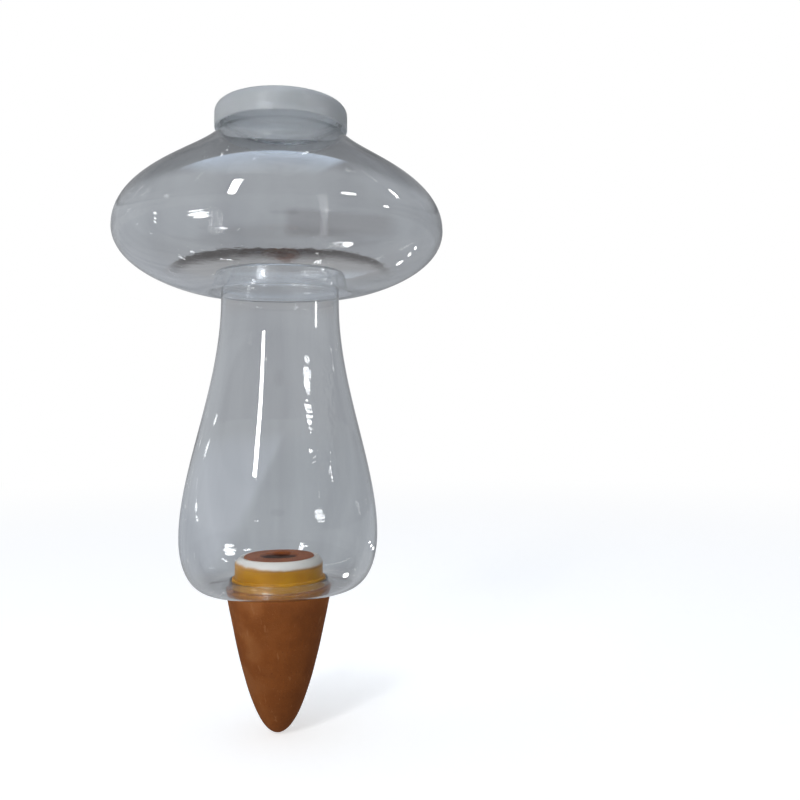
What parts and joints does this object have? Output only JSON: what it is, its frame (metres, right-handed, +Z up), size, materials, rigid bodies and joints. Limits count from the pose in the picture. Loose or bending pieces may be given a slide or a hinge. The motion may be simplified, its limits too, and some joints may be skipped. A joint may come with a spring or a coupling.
{
  "type": "plant waterer",
  "caption": "Clear mushroom-shaped water bottle with a push-on lid, seated by a rubber sleeve on a porous clay spike that seeps water into the soil.",
  "frame": {"origin": "on the axis at the soil line, where the bottle's base sits on the clay spike's ledge", "axes": "+Z up along the axis of revolution, from the spike's tip to the lid; X and Y are level"},
  "size_m": [0.095, 0.095, 0.18],
  "materials": {
    "clay": "matte, porous",
    "amber_rubber": "smooth, slightly glossy",
    "white_rubber": "smooth",
    "clear_plastic": "clear, glossy",
    "milky_plastic": "milky, satin"
  },
  "bodies": {
    "planted_spike": {"spike": "clay", "sleeve": "amber_rubber", "seal_ring": "white_rubber"},
    "bottle": {"reservoir": "clear_plastic"},
    "push_on_lid": {"lid": "milky_plastic"}
  },
  "joints": [
    {"name": "reservoir_lift", "type": "slide", "parent": "planted_spike", "child": "bottle", "axis": [0, 0, 1], "range_m": [0, 0.03]},
    {"name": "lid_lift", "type": "slide", "parent": "bottle", "child": "push_on_lid", "axis": [0, 0, 1], "range_m": [0, 0.025]}
  ]
}
